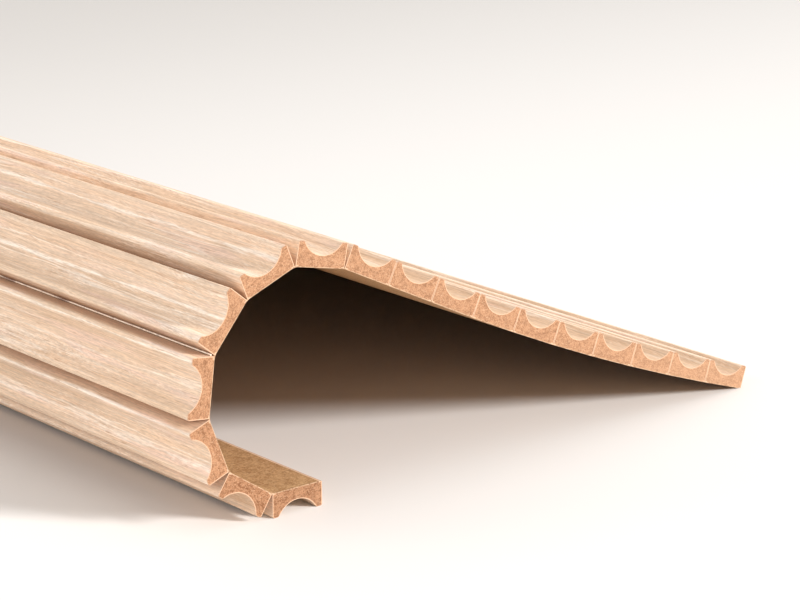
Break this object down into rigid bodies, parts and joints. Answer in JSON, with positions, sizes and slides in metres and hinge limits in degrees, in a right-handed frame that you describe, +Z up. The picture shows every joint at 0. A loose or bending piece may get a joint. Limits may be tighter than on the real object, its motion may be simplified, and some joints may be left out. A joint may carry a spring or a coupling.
{
  "type": "flexible slat wall panel",
  "caption": "Flexible wall panel of fluted wood-look slats glued to a thin backing sheet, lying in a loose curl with its ramp down to the floor.",
  "frame": {"origin": "middle of the panel's footprint, on the floor that it lies on", "axes": "+Z up, +Y along the slats, +X across them, towards the foot of the ramp"},
  "size_m": [0.2918, 2.8, 0.1043],
  "materials": {
    "fibreboard": "matte, sawn end",
    "wood_look_film": "satin",
    "backing": "matte"
  },
  "bodies": {
    "root": {"backing_sheet": "backing", "slat_01": "fibreboard", "slat_02": "fibreboard", "slat_03": "fibreboard", "slat_04": "fibreboard", "slat_05": "fibreboard", "slat_06": "fibreboard", "slat_07": "fibreboard", "slat_08": "fibreboard", "slat_09": "fibreboard", "slat_10": "fibreboard", "slat_11": "fibreboard", "slat_12": "fibreboard", "slat_13": "fibreboard", "slat_14": "fibreboard", "slat_15": "fibreboard", "slat_16": "fibreboard", "slat_17": "fibreboard", "facing_01": "wood_look_film", "facing_02": "wood_look_film", "facing_03": "wood_look_film", "facing_04": "wood_look_film", "facing_05": "wood_look_film", "facing_06": "wood_look_film", "facing_07": "wood_look_film", "facing_08": "wood_look_film", "facing_09": "wood_look_film", "facing_10": "wood_look_film", "facing_11": "wood_look_film", "facing_12": "wood_look_film", "facing_13": "wood_look_film", "facing_14": "wood_look_film", "facing_15": "wood_look_film", "facing_16": "wood_look_film", "facing_17": "wood_look_film"}
  },
  "joints": []
}
